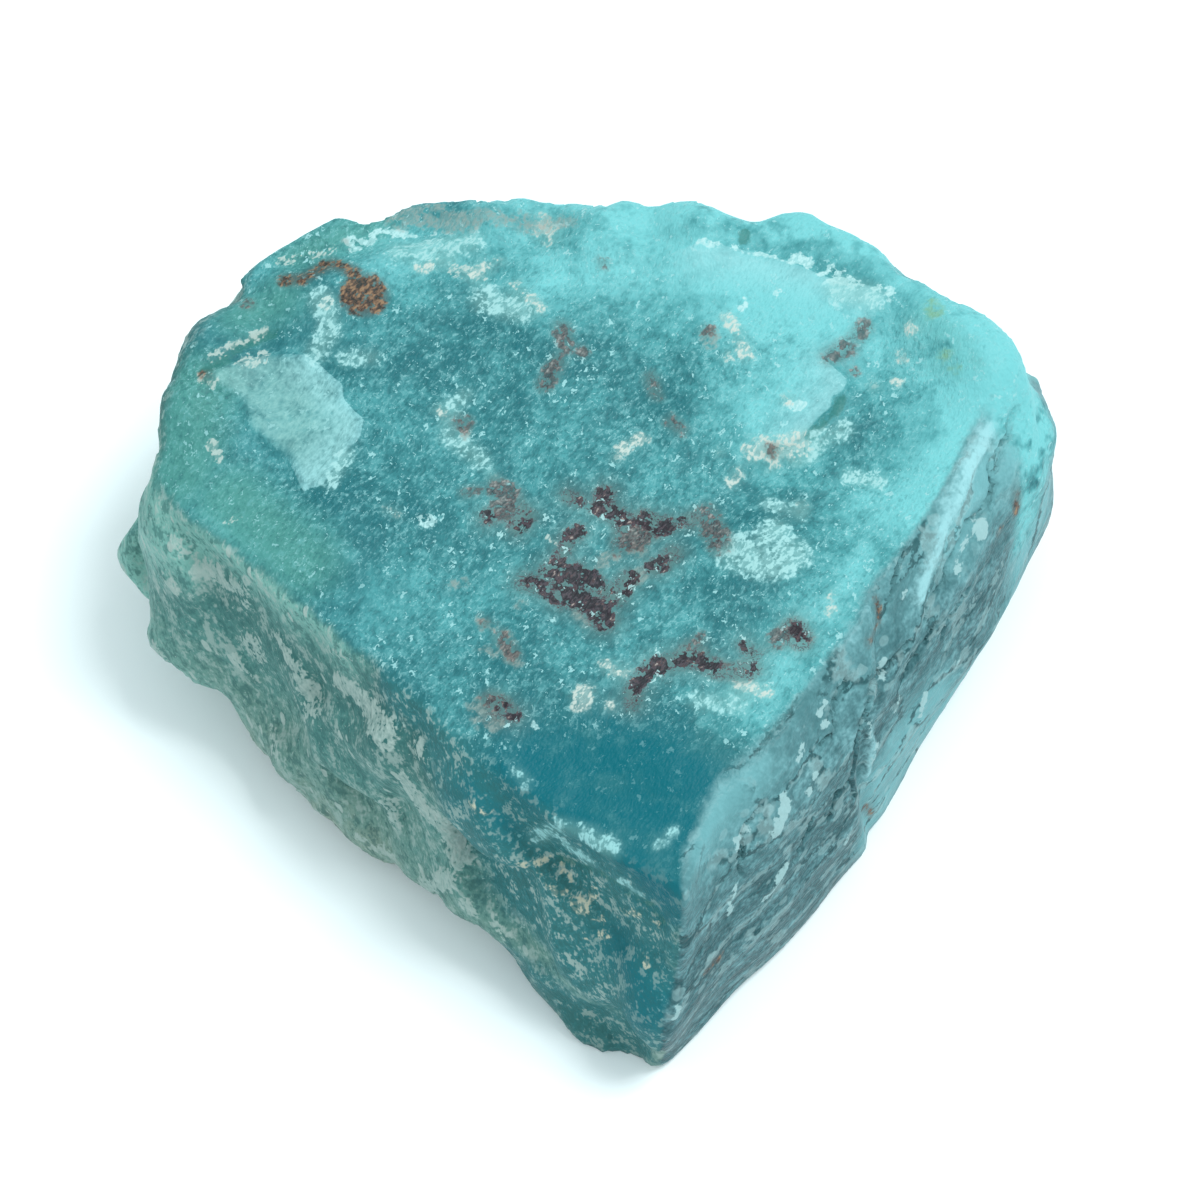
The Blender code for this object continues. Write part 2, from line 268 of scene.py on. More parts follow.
LENSES_ON_RIGHT = (
    (0.26, (6.9, 15.4), (6.4, 14.9)),
    (0.28, (4.2, 10.2), (3.5, 9.5)),
    (0.45, (18.6, 15.5), (18.3, 15.3)),
    (0.22, (18.1, 15.9), (16.7, 15.7), (14.6, 14.7)),
    (0.20, (13.0, 8.6), (12.4, 8.1)),
    (0.24, (9.2, 9.0), (8.5, 8.0)),
    (0.14, (7.0, 11.6), (6.6, 10.9)),
    (0.48, (-4.4, 15.6), (-5.2, 15.2), (-6.0, 14.7)),
    (0.26, (-7.8, 16.2), (-8.8, 15.7)),
    (0.24, (-1.7, 15.1), (-2.6, 14.6)),
    (0.16, (1.0, 16.9), (0.6, 16.8)),
    (0.20, (1.5, 17.8), (0.8, 17.5)),
    (0.20, (-6.1, 10.6), (-7.6, 10.0), (-8.4, 9.7)),
    (0.26, (-10.3, 13.1), (-11.1, 11.4)),
    (0.18, (-17.2, 8.8), (-17.8, 8.1)),
    (0.14, (-13.6, 6.2), (-14.2, 5.4)),
    (0.16, (-1.4, 17.3), (-2.0, 17.1)),
    (0.12, (11.0, 17.5), (10.4, 17.3)),
    (0.14, (-0.9, 6.8), (-1.2, 6.2)),
    (0.16, (4.1, 12.8), (3.6, 11.7)),
)
# A pale strip of painted sheen, mostly along the top of the right wall, which also stands a little
# proud.
SHEEN_STRIP_ON_RIGHT = (
    (0.50, (25.0, 19.2), (22.1, 19.0), (19.8, 19.0), (18.4, 18.8), (17.1, 18.6)),
    (0.52, (17.1, 18.6), (15.8, 18.3), (14.8, 17.8), (13.7, 17.3), (12.8, 17.1), (11.7, 16.5)),
    (0.20, (23.9, 18.1), (22.2, 18.0)),
    (0.22, (3.9, 12.3), (3.8, 10.6), (2.7, 8.4)),
)
CALM_ON_RIGHT = (
    (1.20, (-6.0, 19.0), (-8.5, 18.7), (-10.8, 17.9), (-12.5, 16.3)),
    (1.50, (24.0, 16.0), (19.0, 15.5), (14.0, 15.0)),
    (1.00, (26.6, 16.4), (24.6, 13.5)),
)
# Painted glow on the right wall: along its foot, round the far end and under the rim.
GLOW_ON_RIGHT = (
    (2.00, (3.7, 6.2), (6.6, 7.2), (10.0, 7.5)),
    (2.20, (2.0, 2.5), (8.0, 3.5), (14.0, 4.0), (20.0, 5.0)),
    (1.60, (26.0, 16.4), (25.4, 9.9), (21.4, 8.5)),
    (1.00, (-5.5, 19.1), (-8.1, 18.9), (-10.4, 18.4)),
    (1.20, (25.0, 17.6), (20.0, 17.8), (16.0, 16.8)),
)
# Painted glow on the left wall: round the far left end, under the rim and low down towards the
# left.
GLOW_ON_LEFT = (
    (3.00, (-28.0, 14.0), (-26.0, 7.0), (-23.0, 4.0)),
    (2.20, (-26.0, 14.0), (-23.5, 15.5), (-20.5, 17.0)),
    (1.80, (-25.0, 18.0), (-20.5, 18.0), (-14.0, 18.5), (-8.0, 18.5)),
    (0.80, (-22.0, 8.0), (-16.0, 5.0)),
)
PALE_ON_LEFT = (
    (0.40, (-12.7, 14.8), (-11.7, 14.3), (-10.6, 14.1), (-9.6, 13.0)),
    (0.28, (-9.6, 13.0), (-9.1, 12.2), (-8.3, 12.6)),
    (0.55, (-7.6, 15.6), (-6.4, 16.1), (-5.1, 15.9), (-3.6, 16.1), (-2.7, 16.2)),
    (0.26, (-2.5, 16.2), (-2.4, 15.7)),
    (0.45, (-0.8, 13.4), (0.0, 12.4), (0.9, 11.4), (2.4, 11.2), (3.6, 9.7), (4.4, 9.3)),
    (0.42, (-2.0, 8.8), (-1.2, 7.6)),
    (0.60, (2.4, 4.4), (4.3, 8.0)),
    (0.25, (-3.3, 4.2), (-2.3, 3.7), (-0.6, 3.9)),
    (0.20, (-15.5, 10.5), (-13.9, 9.3)),
    (0.16, (-11.9, 7.1), (-10.5, 6.5)),
    (0.28, (-8.7, 3.6), (-8.2, 1.9), (-6.3, 3.8)),
    (0.32, (7.1, 8.5)),
    (0.28, (6.0, 7.1), (6.7, 6.6)),
    (0.22, (7.8, 8.9), (8.2, 8.9)),
    (0.24, (9.7, 12.7), (11.1, 12.1)),
    (0.30, (14.6, 6.3), (15.4, 5.6)),
    (0.28, (17.1, 0.2)),
    (0.14, (12.1, 11.5), (12.5, 10.3)),
    (0.42, (-19.1, 15.7), (-17.9, 15.5), (-16.4, 15.9)),
    (0.28, (-16.3, 17.1), (-16.0, 15.1)),
    (0.16, (-20.6, 16.4), (-21.9, 17.2)),
    (0.14, (-6.8, 19.1), (-7.2, 18.8), (-8.9, 17.3)),
    (0.18, (-0.9, 16.5), (0.1, 15.9), (0.9, 15.4)),
    (0.14, (-10.2, 12.0), (-9.0, 11.2)),
    (0.14, (8.0, 6.6), (9.1, 5.9)),
    (0.16, (6.8, 1.0)),
    (0.90, (-21.0, 7.7)),
    (0.50, (-15.1, 12.3), (-14.1, 11.6)),
    (0.30, (-19.7, 15.7), (-18.0, 15.4)),
    (0.30, (-21.9, 14.1), (-20.6, 13.9)),
)
# Painted shade on the left wall: under the rim and along the front foot.
SHADE_ON_LEFT = (
    (1.30, (-20.0, 15.8), (-16.1, 13.5), (-12.3, 10.7), (-7.5, 12.0), (-3.3, 10.6)),
    (0.90, (-11.0, 15.6), (-7.8, 17.7), (-2.6, 17.3), (-0.6, 17.0)),
    (1.60, (4.0, 3.0), (8.0, 2.0), (12.0, 2.0), (16.0, 2.0)),
    (1.00, (1.1, 6.3), (5.1, 8.6), (9.6, 6.3), (13.4, 4.9)),
    (0.22, (-18.2, 16.4), (-17.5, 16.6)),
)
CREAM_ON_LEFT = (
    (0.26, (12.1, 11.6), (13.1, 11.4), (13.9, 11.1), (14.8, 11.5)),
    (0.16, (12.9, 12.6), (13.2, 11.5)),
    (0.16, (15.1, 12.8), (16.4, 14.1), (17.9, 14.1)),
    (0.24, (14.6, 10.6), (15.4, 10.5)),
    (0.12, (13.7, 10.4), (14.0, 10.0)),
    (0.08, (8.6, 13.2), (10.1, 12.6), (11.4, 12.0)),
    (0.08, (17.4, 11.5), (18.4, 11.1)),
    (0.10, (4.3, 16.7), (5.4, 16.3)),
)
# Marks that run over an edge, placed by x, y and z.
DEEP_WATER = (
    (2.60, (-2.5, -14.0, 18.6), (0.9, -13.7, 18.7), (4.2, -13.9, 19.2), (6.7, -14.6, 19.2)),
    (2.60, (0.3, -15.9, 18.4), (3.3, -17.0, 18.7), (5.7, -18.0, 18.8)),
    (2.20, (3.3, -19.8, 18.6), (4.5, -21.4, 17.6)),
    (1.00, (2.1, -22.4, 10.4), (3.5, -25.0, 10.2), (3.7, -26.6, 8.3)),
    (0.50, (-7.1, -14.5, 17.3), (-5.3, -16.1, 15.6)),
)
FRONT_TEAL = (
    (3.20, (-7.1, -13.7, 17.9), (-4.0, -15.5, 17.5), (-1.5, -17.6, 17.8), (1.2, -19.5, 18.0),
     (3.9, -21.0, 17.3)),
    (1.60, (-9.0, -11.8, 18.2), (-11.5, -8.8, 18.9)),
    (1.80, (1.8, -22.3, 10.1), (3.4, -24.9, 10.1), (3.7, -27.0, 7.5)),
    (1.00, (-4.2, -18.4, 9.4), (-3.9, -19.1, 8.5)),
    (2.60, (-7.2, -16.2, 15.0), (-4.2, -18.2, 9.7), (-1.0, -22.0, 9.1), (1.8, -24.9, 6.9),
     (3.4, -26.9, 7.3)),
    (2.00, (-4.1, -17.4, 13.8), (0.3, -20.4, 11.3), (4.0, -24.5, 10.7)),
    (3.00, (-1.0, -19.5, 13.0), (3.0, -22.5, 13.5)),
    (2.60, (-4.5, -21.5, 2.5), (-1.0, -24.0, 2.5), (2.0, -26.5, 2.0)),
)
FRONT_FROST = (
    (0.50, (-2.8, -16.6, 14.3), (-1.3, -17.6, 18.2), (0.2, -18.1, 18.5), (1.5, -19.2, 18.5)),
    (0.45, (-1.2, -17.5, 15.1), (0.2, -18.7, 15.1)),
    (0.16, (4.4, -18.9, 18.7), (5.4, -18.0, 18.8)),
    (0.22, (-4.2, -14.1, 18.6), (-3.6, -14.7, 18.5)),
    (0.14, (2.1, -20.1, 15.8), (3.3, -20.9, 15.6)),
)
LEDGE_SHADE = (
    (0.20, (-1.6, -17.6, 13.0), (-0.4, -18.3, 13.4), (1.0, -19.4, 15.1), (2.1, -20.4, 15.3),
     (4.1, -21.6, 15.1), (4.8, -22.4, 14.5)),
)
# Painted glow at the far right end and along the back rim, where the right wall's own colours
# stop.
FAR_END_GLOW = (
    (2.40, (3.0, 27.2, 18.0), (11.0, 26.8, 18.0), (17.0, 25.0, 18.0)),
    (2.60, (27.5, 13.5, 18.0), (30.0, 9.0, 15.0), (30.5, 5.0, 11.0)),
    (2.60, (26.0, 15.0, 20.0), (28.5, 10.0, 19.5), (30.5, 4.0, 18.0)),
)
CALM = (
    (3.00, (-26.3, 8.5, 19.2), (-24.5, 5.6, 19.1), (-22.5, 2.9, 19.0), (-20.5, 0.0, 19.1)),
    (2.50, (-23.7, 16.4, 19.5), (-19.2, 17.7, 19.8), (-16.6, 16.2, 19.8)),
    (2.50, (-20.3, 11.4, 19.1), (-18.3, 9.3, 18.9)),
    (3.00, (7.4, 19.1, 20.0), (12.6, 18.9, 20.2), (15.8, 17.5, 20.1)),
    (3.00, (14.0, 23.0, 20.4), (19.1, 20.4, 20.3), (23.6, 17.7, 19.8), (26.0, 14.5, 20.2)),
    (2.50, (23.9, 11.1, 19.7), (21.9, 8.4, 19.4)),
    (2.00, (-16.0, -0.1, 19.3), (-12.8, -2.8, 19.1)),
    (2.00, (3.5, 23.8, 19.6), (7.4, 23.9, 20.1)),
)
PUSH = (
    (2.00, (0.9, 24.1, 19.5)),
    (1.60, (-6.4, 24.5, 19.3)),
    (1.60, (7.4, 23.7, 20.1)),
    (2.00, (23.5, 16.1, 19.9), (25.6, 14.3, 20.2)),
    (2.00, (-24.7, 15.3, 19.4), (-25.7, 11.3, 19.3)),
    (2.20, (-18.8, -8.3, 5.4), (-16.3, -10.1, 3.0), (-13.2, -12.7, 3.0), (-10.0, -15.5, 4.0),
     (-7.5, -18.0, 4.0)),
    (1.60, (-27.2, 0.0, 8.0), (-24.3, -2.8, 5.0), (-21.5, -5.5, 4.0)),
    (1.40, (1.5, -24.8, 0.7)),
)
# Outlines on top, by x and y: a thin flake lying on the left, and a light sheet that ends at
# the ledge on the right.
FLAKE = (
    (-24.7, 12.4), (-23.3, 13.5), (-21.6, 14.2), (-20.4, 14.6), (-18.2, 14.5), (-17.2, 13.9),
    (-15.7, 12.4), (-15.5, 11.2), (-14.2, 9.9), (-14.5, 8.5), (-15.6, 7.3), (-16.6, 5.3),
    (-18.0, 5.0), (-18.9, 7.1), (-20.2, 8.1), (-21.5, 9.1), (-22.2, 11.2),
)
SHEET = (
    (3.5, 21.1), (7.4, 22.1), (9.5, 21.9), (11.5, 21.6), (13.6, 20.8), (16.2, 19.6),
    (18.4, 19.2), (19.9, 18.5), (18.2, 16.7), (16.7, 15.4), (15.2, 14.1), (16.1, 13.3),
    (16.8, 12.6), (16.5, 11.8), (15.6, 11.2), (15.7, 10.7), (14.9, 9.9), (13.9, 8.7),
    (13.0, 8.0), (10.1, 7.3), (7.3, 8.2), (4.4, 11.2), (2.8, 15.5),
)
SPREAD_MM = 0.8  # how far a mark's edge fades, which is how far grains can carry it
WIDE_SPREAD_MM = 3.0
THIN_SPREAD_MM = 0.3
# What becomes an attribute: its name, its marks, where they lie, and how far they fade.
LAID = (
    ("dark_ore", DARK_ORE, "top", SPREAD_MM),
    ("red_ore", RED_ORE, "top", SPREAD_MM),
    ("dull", DARK_ORE, "top", WIDE_SPREAD_MM),
    ("rust", RUST, "top", SPREAD_MM),
    ("rust", RUST_ON_RIGHT, "right", SPREAD_MM),
    ("smudge", SMUDGE, "top", SPREAD_MM),
    ("pale", PALE, "top", SPREAD_MM),
    ("speckled", SPECKLED, "top", SPREAD_MM),
    ("glint", GLINT, "top", SPREAD_MM),
    ("frost", FROST, "top", SPREAD_MM),
    ("frost", FRONT_FROST, "all", SPREAD_MM),
    ("gap", GAP_SHADOWS, "top", SPREAD_MM),
    ("gap", LEDGE_SHADE, "all", SPREAD_MM),
    ("ledge", LEDGE, "top", WIDE_SPREAD_MM),
    ("deep", DEEP_WATER, "all", WIDE_SPREAD_MM),
    ("light", RIM_GLOW, "top", WIDE_SPREAD_MM),
    ("green", GREENER, "top", WIDE_SPREAD_MM),
    ("stain", STAIN, "top", WIDE_SPREAD_MM),
    ("olive", OLIVE_SPOTS, "top", SPREAD_MM),
    ("calm", CALM, "all", WIDE_SPREAD_MM),
    ("far_end", FAR_END_GLOW, "all", WIDE_SPREAD_MM),
    ("calm", CALM_ON_RIGHT, "right", WIDE_SPREAD_MM),
    ("seam", SEAMS_ON_RIGHT, "right", THIN_SPREAD_MM),
    ("lens", LENSES_ON_RIGHT, "right", SPREAD_MM),
    ("strip", SHEEN_STRIP_ON_RIGHT, "right", SPREAD_MM),
    ("glow", GLOW_ON_RIGHT, "right", WIDE_SPREAD_MM),
    ("glow", GLOW_ON_LEFT, "left", WIDE_SPREAD_MM),
    ("chalk", PALE_ON_LEFT, "left", SPREAD_MM),
    ("shade", SHADE_ON_LEFT, "left", WIDE_SPREAD_MM),
    ("cream", CREAM_ON_LEFT, "left", SPREAD_MM),
    ("front", FRONT_TEAL, "all", WIDE_SPREAD_MM),
    ("push", PUSH, "all", WIDE_SPREAD_MM),
)

# ------------------------ the relief
WELD_MM = 0.001
VOXEL_MM = 0.33
SOFTEN_FACTOR = 0.5
SOFTEN_PASSES = 4
SOFTEN_LEFT_PASSES = 14
SOFTEN_RIM_PASSES = 60
ROUND_PASSES = 110  # rounds a copy, which tells the top from the walls
WEIGHT_STEPS = 16
NOISE_DEPTH = 2
NOISE_MIDDLE = 0.5  # the level of a texture that leaves the surface where it is
HOLLOW_MIDDLE = 0.2
PUSH_MM = 1.3
UNDERCUT_MM = 1.6
SHEET_RISE_MM = 0.35
# Each roughness of the surface: its name, its texture, its grain in mm (twice along the
# layers of the stone and once across them), its rise in mm, and where it lies.
RELIEF = (
    ("swells", "CLOUDS", (8.0, 8.0, 5.0), 0.20, "all"),
    ("chips", "CLOUDS", (2.2, 2.2, 1.2), 0.13, "all"),
    ("plates", "CLOUDS", (3.0, 3.0, 0.8), 0.26, "left"),
    ("cleaved", "CLOUDS", (12.0, 12.0, 1.1), 0.50, "right"),
    ("grain", "CLOUDS", (0.8, 0.8, 0.6), 0.06, "all"),
    ("scallop", "VORONOI", (7.0, 7.0, 4.5), 1.8, "back"),
    ("chip", "VORONOI", (2.6, 2.6, 1.6), 0.8, "back"),
)
# Marks that stand proud by so many mm, or are sunk by it where it is below 0.
RAISED = (
    ("flake", 0.30),
    ("pale", 0.07),
    ("dark_ore", -0.12),
    ("seam", -0.45),
    ("strip", 0.20),
    ("lens", 0.07),
    ("chalk", 0.14),
    ("cream", 0.14),
    ("gap", -0.12),
)
# Each pair below is where something starts and where it is all there.
RAISED_FADE = (0.35, 0.60)
SHEET_FADE = (0.47, 0.53)
TOP_FADE = (0.25, 0.55)
RIGHT_FADE = (0.08, 0.50)
LEFT_FADE = (0.20, 0.75)
FRONT_FADE = (0.2, 0.8)
FAR_END_FADE = (0.3, 0.8)
UNDERCUT_FADE = (0.1, 0.5)
ABOVE_UNDERCUT_MM = (0.7, 2.0)
PAST_UNDERCUT_MM = (8.0, 12.0)  # by the way along the left wall
ABOVE_BACK_MM = (13.0, 18.0)  # the back's own relief and colours stop below the rim
PAST_LEFT_RIM_MM = (-6.0, 2.0)
BACK_RIM_MM = (6.0, 12.0)
RIM_HEIGHT_MM = (13.0, 16.0)
LEFT_OFF_RIGHT = 0.6  # how much facing left takes off facing right, at the front corner
LEFT_END = 0.8  # how much of the left wall there is round the far left end

# ------------------------ camera and room
LOOK_AT_MM = (0.89, 0.564, 12.0)
CAMERA_FAR_MM = 216.0
CAMERA_ELEVATION = 65.0
LENS = 100.0
SENSOR = 36.0
NEAREST_SEEN = 0.01
FLOOR_SIZE = 4.0
FLOOR_ROUGHNESS = 0.9
WINDOW_PLACE = (0.33, 0.12, 0.78)
WINDOW_SIZE = 0.28
WINDOW_POWER = 4.5
SKY = (0.93, 0.985, 1.0, 1.0)
SKY_STRENGTH = 1.0
LIGHT_BOUNCES = 2

# ------------------------ colours, as light reflected, and the skin
DEEP_TEAL = (0.000, 0.115, 0.146, 1.0)
TEAL = (0.021, 0.144, 0.162, 1.0)
TURQUOISE = (0.059, 0.275, 0.293, 1.0)
LIGHT_TURQUOISE = (0.144, 0.477, 0.497, 1.0)
FLECK = (0.125, 0.360, 0.376, 1.0)
FLECK_BRIGHT = (0.261, 0.528, 0.543, 1.0)
FLECK_DARK = (0.011, 0.096, 0.112, 1.0)
GREEN_TEAL = (0.065, 0.251, 0.219, 1.0)
OLIVE = (0.175, 0.323, 0.137, 1.0)
# Painted shadow in the gaps.
GAP_SHADOW_GREEN = (0.020, 0.137, 0.121, 1.0)
FROSTED = (0.203, 0.421, 0.403, 1.0)
SHEET_EDGE = (0.275, 0.570, 0.592, 1.0)
GLINT_WHITE = (0.351, 0.592, 0.598, 1.0)
CREAM = (0.439, 0.528, 0.487, 1.0)
BEIGE_PINK = (0.215, 0.262, 0.240, 1.0)
HALO = (0.121, 0.175, 0.159, 1.0)
BLACK_ORE = (0.020, 0.015, 0.021, 1.0)
PURPLE_ORE = (0.062, 0.048, 0.062, 1.0)
BROWN_ORE = (0.053, 0.026, 0.028, 1.0)
RED_GRAIN = (0.118, 0.076, 0.073, 1.0)
PINK_GRAIN = (0.290, 0.255, 0.240, 1.0)
RUST_BROWN = (0.092, 0.041, 0.023, 1.0)
RUST_TAN = (0.261, 0.149, 0.075, 1.0)
RUST_DARK = (0.025, 0.014, 0.011, 1.0)
SLATE_DARK = (0.016, 0.066, 0.076, 1.0)
SLATE = (0.043, 0.120, 0.134, 1.0)
SLATE_LIGHT = (0.090, 0.213, 0.233, 1.0)
SLATE_PALE = (0.194, 0.381, 0.409, 1.0)
# A painted glow on the right wall, towards its rim and where the glow marks lie.
BLUE_GLOW = (0.165, 0.418, 0.447, 1.0)
LENS_BLUE = (0.306, 0.488, 0.498, 1.0)
# A painted sheen on the right wall.
SHEEN_STRIP = (0.306, 0.586, 0.621, 1.0)
SEAM_DARK = (0.009, 0.051, 0.059, 1.0)
WALL_DARK = (0.026, 0.110, 0.106, 1.0)
WALL_MID = (0.076, 0.218, 0.197, 1.0)
WALL_SOFT = (0.136, 0.263, 0.225, 1.0)
# A painted glow at the foot of the left wall.
BASE_GLOW = (0.288, 0.369, 0.296, 1.0)
WALL_PALE = (0.332, 0.441, 0.410, 1.0)
# Pale green: the painted glow on the left wall, and patches on the back.
WALL_HAZE_AND_GLOW = (0.204, 0.452, 0.399, 1.0)
FRONT_GREEN = (0.035, 0.171, 0.177, 1.0)
WALL_CREAM = (0.458, 0.486, 0.379, 1.0)
FLOOR_WHITE = (0.83, 0.93, 0.95, 1.0)
WALL_COVER = 0.94
ROUGHNESS = 0.48
REFRACTION = 1.52
GLOSS = 0.12
BUMP_STRENGTH = 0.9
BUMP_MM = 0.25


def pick_up(piece):
    """Selects one object and makes it the active one."""
    bpy.ops.object.select_all(action="DESELECT")
    piece.select_set(True)
    bpy.context.view_layer.objects.active = piece


def smooth_step(values, low, high):
    """0 up to low, 1 from high, and a smooth rise between them."""
    t = np.clip((values - low) / (high - low), 0.0, 1.0)
    return t * t * (3.0 - 2.0 * t)


def to_line(spots, start, end):
    """The distance from each spot to a stretch of line."""
    start = np.asarray(start, float)
    way = np.asarray(end, float) - start
    length = max(float(way @ way), 1e-9)
    share = np.clip((spots - start) @ way / length, 0.0, 1.0)
    return np.linalg.norm(spots - start - share[:, None] * way, axis=1)


def marked(spots, marks, spread):
    """How much of a mark lies on each spot: one half at its reach, fading over spread."""
    found = np.zeros(len(spots))
    for reach, *line in marks:
        stretches = list(zip(line, line[1:])) or [(line[0], line[0])]
        far = np.min([to_line(spots, start, end) for start, end in stretches], axis=0)
        found = np.maximum(found, np.clip(0.5 + 0.5 * (reach - far) / spread, 0.0, 1.0))
    return found


def within(spots, outline, spread):
    """1 inside an outline and 0 outside, one half on it, fading over spread to each side."""
    inside = np.zeros(len(spots), bool)
    far = np.full(len(spots), 1e9)
    for start, end in zip(outline, outline[1:] + outline[:1]):
        far = np.minimum(far, to_line(spots, start, end))
        (x0, y0), (x1, y1) = start, end
        if y0 == y1:
            continue
        crosses = (y0 > spots[:, 1]) != (y1 > spots[:, 1])
        at = x0 + (spots[:, 1] - y0) * (x1 - x0) / (y1 - y0)
        inside ^= crosses & (spots[:, 0] < at)
    signed = np.where(inside, far, -far)
    return np.clip(0.5 + 0.5 * signed / spread, 0.0, 1.0)


def read_mesh(piece):
    """The vertices in mm and their normals."""
    count = len(piece.data.vertices)
    spots = np.zeros(count * 3)
    piece.data.vertices.foreach_get("co", spots)
    normals = np.zeros(count * 3)
    piece.data.vertex_normals.foreach_get("vector", normals)
    return spots.reshape(-1, 3) / MM, normals.reshape(-1, 3)


def lay_marks(piece, facing):
    """Every mark's share at each vertex, by name."""
    spots, _ = read_mesh(piece)
    plan = spots[:, :2]
    places = {
        "all": spots,
        "top": plan,
        "right": np.column_stack((plan @ np.array(ALONG_RIGHT), spots[:, 2])),
        "left": np.column_stack((plan @ np.array(ALONG_LEFT), spots[:, 2])),
    }
    low = 1.0 - smooth_step(spots[:, 2], *ABOVE_UNDERCUT_MM)
    low = low * (1.0 - smooth_step(places["left"][:, 0], *PAST_UNDERCUT_MM))
    shares = {
        "undercut": low * smooth_step(facing["left"], *UNDERCUT_FADE),
        "flake": within(plan, FLAKE, SPREAD_MM) * facing["top"],
        "sheet": within(plan, SHEET, WIDE_SPREAD_MM) * facing["top"],
    }
    for name, marks, side, spread in LAID:
        found = marked(places[side], marks, spread) * facing[side]
        shares[name] = np.maximum(found, shares.get(name, 0.0))
    front = smooth_step(shares["front"], *FRONT_FADE)
    shares["front"] = facing["left"] * front
    shares["left_wall"] = facing["left"] * (1.0 - front)
    shares["right_wall"] = facing["right"] * (1.0 - smooth_step(shares["far_end"], *FAR_END_FADE))
    shares["back"] = facing["back"]
    return shares


def which_way(piece):
    """How much each vertex belongs to the top, the right wall, the left wall and the back."""
    pick_up(piece)
    bpy.ops.object.duplicate()
    rounded = bpy.context.object
    soften(rounded, ROUND_PASSES)
    spots, normals = read_mesh(rounded)
    bpy.data.objects.remove(rounded)
    left = normals @ np.array(LEFT_OUT)
    right = normals @ np.array(RIGHT_OUT) - LEFT_OFF_RIGHT * np.maximum(left, 0.0)
    left = np.maximum(left, -LEFT_END * normals[:, 0])
    facing = {
        "all": np.ones(len(normals)),
        "top": smooth_step(normals[:, 2], *TOP_FADE),
        "right": smooth_step(right, *RIGHT_FADE),
        "left": smooth_step(left, *LEFT_FADE),
    }
    away = np.prod([1.0 - facing[side] for side in ("top", "left", "right")], axis=0)
    facing["back"] = away * (1.0 - smooth_step(spots[:, 2], *ABOVE_BACK_MM))
    return facing


def worn_rim(piece, facing):
    """How much each vertex belongs to the rim of the top, round its left and back."""
    spots, _ = read_mesh(piece)
    along = spots[:, :2] @ np.array(ALONG_LEFT)
    rim = 4.0 * facing["top"] * (1.0 - facing["top"])  # 1 halfway between the top and a wall
    rim = rim * (1.0 - facing["right"])
    left_rim = 1.0 - smooth_step(along, *PAST_LEFT_RIM_MM)
    back_rim = smooth_step(spots[:, 1], *BACK_RIM_MM)
    return rim * np.maximum(left_rim, back_rim) * smooth_step(spots[:, 2], *RIM_HEIGHT_MM)


def weigh(piece, name, shares):
    """A vertex group with these shares, in a few even steps."""
    group = piece.vertex_groups.new(name=name)
    steps = np.round(np.clip(shares, 0.0, 1.0) * WEIGHT_STEPS).astype(int)
    for step in range(1, WEIGHT_STEPS + 1):
        members = np.flatnonzero(steps == step).tolist()
        if members:
            group.add(members, step / WEIGHT_STEPS, "REPLACE")


def bedding_guide(grain):
    """An empty turned to the layers and scaled to one grain, which a texture is placed by."""
    bpy.ops.object.empty_add(type="PLAIN_AXES")
    guide = bpy.context.object
    guide.rotation_mode = "QUATERNION"
    guide.rotation_quaternion = BEDDING_TURN
    guide.scale = [length * MM for length in grain]
    bpy.context.view_layer.update()
    return guide


def displace(piece, name, rise_mm, group, texture=None, grain=None):
    """Moves the surface out along its normals by a texture, or by the group alone."""
    guide = bedding_guide(grain) if texture else None
    pick_up(piece)
    bpy.ops.object.modifier_add(type="DISPLACE")
    push = piece.modifiers[-1]
    push.name = name
    push.vertex_group = group
    push.direction = "NORMAL"
    push.strength = rise_mm * MM
    if texture:
        push.texture = texture
        push.texture_coords = "OBJECT"
        push.texture_coords_object = guide
        push.mid_level = HOLLOW_MIDDLE if texture.type == "VORONOI" else NOISE_MIDDLE
    else:
        push.mid_level = 0.0
    bpy.ops.object.modifier_apply(modifier=name)
    if guide:
        bpy.data.objects.remove(guide)


def raise_mark(piece, name, shares, rise_mm):
    """Moves the surface out by so many mm where a mark lies."""
    weigh(piece, name, shares)
    displace(piece, name, rise_mm, name)


def relief_texture(name, kind):
    """A noise, or for VORONOI a pattern of round hollows, with a grain one unit across."""
    texture = bpy.data.textures.new(name, kind)
    texture.noise_scale = 1.0
    if kind == "VORONOI":
        texture.distance_metric = "DISTANCE_SQUARED"
    else:
        texture.noise_depth = NOISE_DEPTH
        texture.noise_basis = "IMPROVED_PERLIN"
    return texture


def soften(piece, passes, group=""):
    """Rounds a surface off, where the group lies."""
    pick_up(piece)
    bpy.ops.object.modifier_add(type="SMOOTH")
    smooth = piece.modifiers[-1]
    smooth.factor = SOFTEN_FACTOR
    smooth.iterations = passes
    smooth.vertex_group = group
    bpy.ops.object.modifier_apply(modifier=smooth.name)


def set_down(piece):
    """Flattens what pokes below the table."""
    spots, _ = read_mesh(piece)
    spots[:, 2] = np.maximum(spots[:, 2], 0.0)
    piece.data.vertices.foreach_set("co", (spots * MM).ravel())
    piece.data.update()


def fine_copy(node, name):
    """A copy of a CAD solid as one skin of small even faces."""
    bpy.ops.object.select_all(action="DESELECT")
    piece = bpy.data.objects.new(name, node.data.copy())
    bpy.context.scene.collection.objects.link(piece)
    pick_up(piece)
    bpy.ops.object.mode_set(mode="EDIT")
    bpy.ops.mesh.select_all(action="SELECT")
    bpy.ops.mesh.remove_doubles(threshold=WELD_MM * MM)
    bpy.ops.mesh.normals_make_consistent(inside=False)
    bpy.ops.object.mode_set(mode="OBJECT")

    bpy.ops.object.modifier_add(type="REMESH")
    remesh = piece.modifiers[-1]
    remesh.mode = "VOXEL"
    remesh.voxel_size = VOXEL_MM * MM
    bpy.ops.object.modifier_apply(modifier=remesh.name)
    return piece


